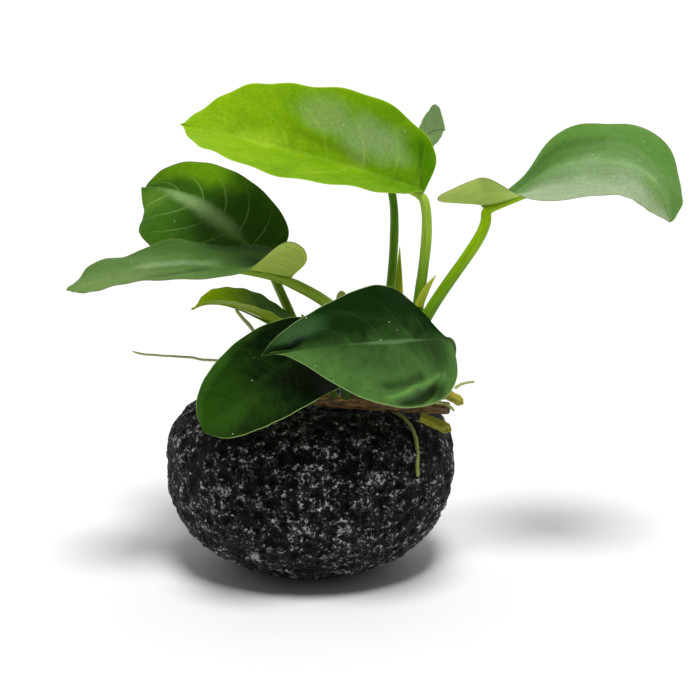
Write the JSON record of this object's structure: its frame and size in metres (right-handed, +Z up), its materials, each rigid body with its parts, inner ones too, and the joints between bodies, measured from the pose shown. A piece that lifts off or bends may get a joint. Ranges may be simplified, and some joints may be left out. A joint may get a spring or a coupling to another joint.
{
  "type": "aquarium plant on a stone",
  "caption": "Small broad-leaved anubias whose creeping rhizome rests on an oval lava stone, with leaves on arching petioles, young shoots, cut leaf stubs and fine roots.",
  "frame": {"origin": "middle of the stone's flat resting face", "axes": "+Z up from the resting face, -Y towards the front of the plant, +X to the right along the long side of the stone, towards the cut end of the rhizome"},
  "size_m": [0.1645, 0.0892, 0.136],
  "materials": {
    "lava_stone": "matte",
    "rhizome_bark": "matte",
    "petiole_green": "satin",
    "young_shoot": "satin",
    "root_skin": "matte",
    "young_leaf": "gloss",
    "mature_leaf": "gloss"
  },
  "bodies": {
    "root": {"stone": "lava_stone", "rhizome": "rhizome_bark", "blade_top": "young_leaf", "petiole_top": "petiole_green", "blade_left_back": "mature_leaf", "petiole_left_back": "petiole_green", "blade_left_low": "mature_leaf", "petiole_left_low": "petiole_green", "blade_right": "mature_leaf", "petiole_right": "petiole_green", "blade_rear": "mature_leaf", "petiole_rear": "petiole_green", "blade_small": "young_leaf", "petiole_small": "petiole_green", "blade_front_left": "mature_leaf", "petiole_front_left": "petiole_green", "blade_front_right": "mature_leaf", "petiole_front_right": "petiole_green", "bud": "young_shoot", "shoot_left": "young_shoot", "scale_leaf_rear": "young_shoot", "scale_leaf_right": "young_shoot", "stub_upper": "young_shoot", "stub_lower": "young_shoot", "root_left_long": "root_skin", "root_left_short": "root_skin", "root_right_fine": "root_skin", "root_right_dark": "root_skin", "root_front": "root_skin", "root_back_left": "root_skin", "root_back_right": "root_skin"}
  },
  "joints": []
}
